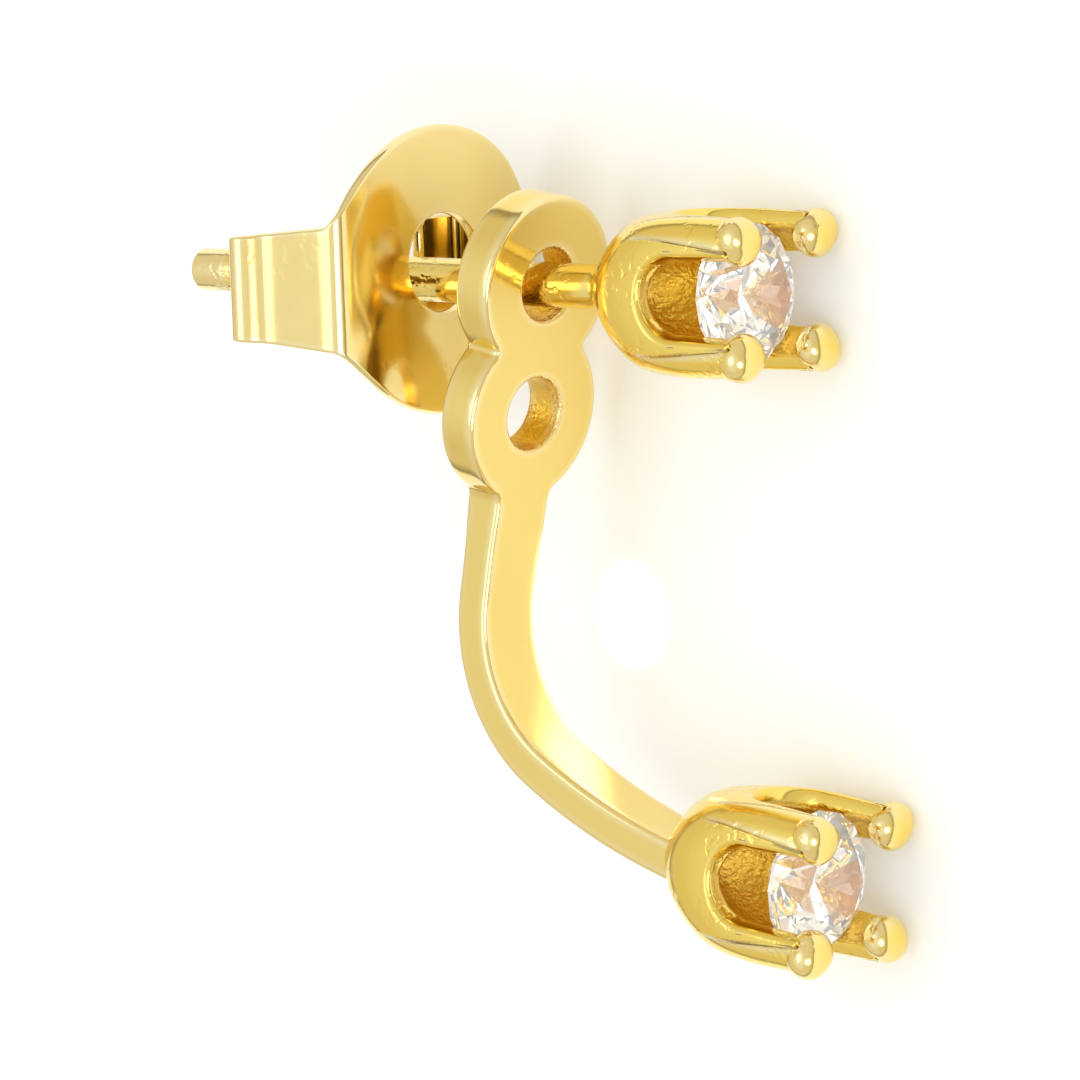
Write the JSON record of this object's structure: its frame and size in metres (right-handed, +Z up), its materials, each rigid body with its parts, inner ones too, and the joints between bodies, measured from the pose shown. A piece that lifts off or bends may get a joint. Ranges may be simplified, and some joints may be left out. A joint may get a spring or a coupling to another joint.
{
  "type": "ear jacket earring",
  "caption": "Stud earring with a claw-set stone, a curved jacket that hangs on its post and carries a matching stone below the lobe, and a butterfly clutch.",
  "frame": {"origin": "centre of the bounding box at its base, on the surface the earring lies on", "axes": "+Z up from the surface. The earring lies on its side: the post runs along X with the upper stone towards +X and down about 9 degrees, and the jacket points to -Y with its stone towards +X"},
  "size_m": [0.0184, 0.0163, 0.0069],
  "materials": {
    "stud_metal": "polished yellow gold plate",
    "upper_stone": "cut and polished clear stone",
    "jacket_metal": "polished yellow gold plate",
    "lower_stone": "cut and polished clear stone",
    "clutch_metal": "polished yellow gold plate"
  },
  "bodies": {
    "stud": {"stud": "stud_metal", "upper_stone": "upper_stone"},
    "jacket": {"jacket": "jacket_metal", "lower_stone": "lower_stone"},
    "clutch": {"clutch": "clutch_metal"}
  },
  "joints": [
    {"name": "jacket_swing", "type": "hinge", "parent": "stud", "child": "jacket", "pos_m": [0.00028, 0.00495, 0.00263], "axis": [-0.9872, 0, 0.1594], "continuous": true},
    {"name": "clutch_slide", "type": "slide", "parent": "stud", "child": "clutch", "axis": [-0.9872, 0, 0.1594], "range_m": [-0.0013, 0.008]}
  ]
}
